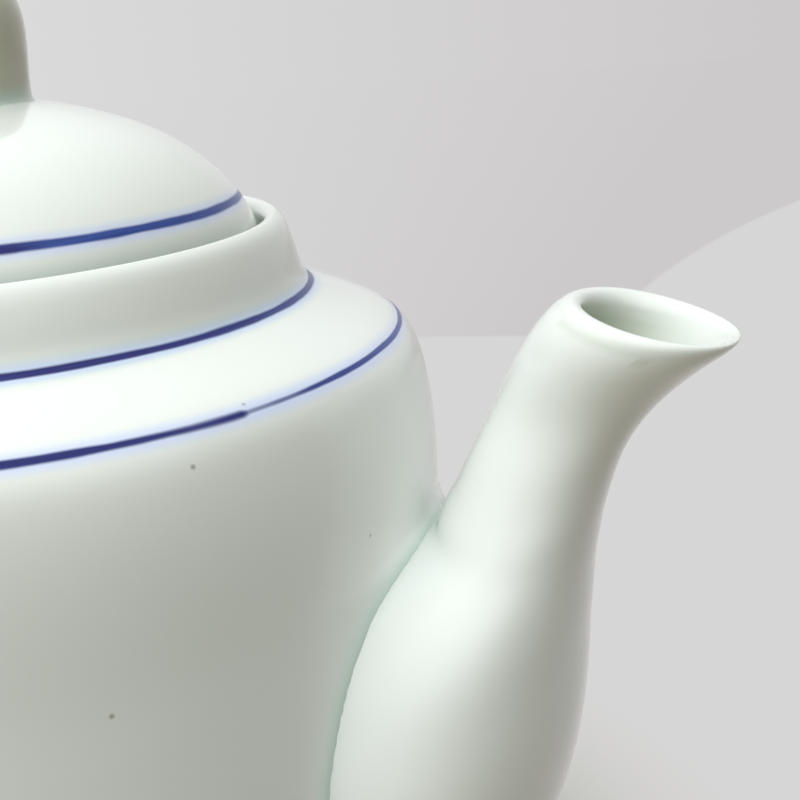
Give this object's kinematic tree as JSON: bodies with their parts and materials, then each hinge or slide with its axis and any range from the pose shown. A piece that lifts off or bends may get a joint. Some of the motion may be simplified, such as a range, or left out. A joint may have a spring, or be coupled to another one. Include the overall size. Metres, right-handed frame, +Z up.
{
  "type": "ceramic teapot",
  "caption": "Barrel-shaped ceramic teapot with a stepped neck, a loose domed lid, a broad-rooted curved spout and an ear handle, banded in thin blue lines.",
  "frame": {"origin": "centre of the foot's underside on the table", "axes": "+Z up, +X along the spout, +Y to the side"},
  "size_m": [0.2492, 0.1506, 0.1852],
  "materials": {
    "white_glaze": "glossy clear glaze over white ceramic, with thin painted blue lines",
    "bare_foot": "matt unglazed ceramic"
  },
  "bodies": {
    "pot": {"pot_body": "white_glaze", "foot_ring": "bare_foot", "neck_collar": "white_glaze", "spout": "white_glaze", "handle": "white_glaze"},
    "lid": {"lid_dome": "white_glaze", "lid_flange": "white_glaze", "lid_knob": "white_glaze"}
  },
  "joints": [
    {"name": "lid_lift", "type": "slide", "parent": "pot", "child": "lid", "axis": [0, 0, 1], "range_m": [0, 0.06]}
  ]
}
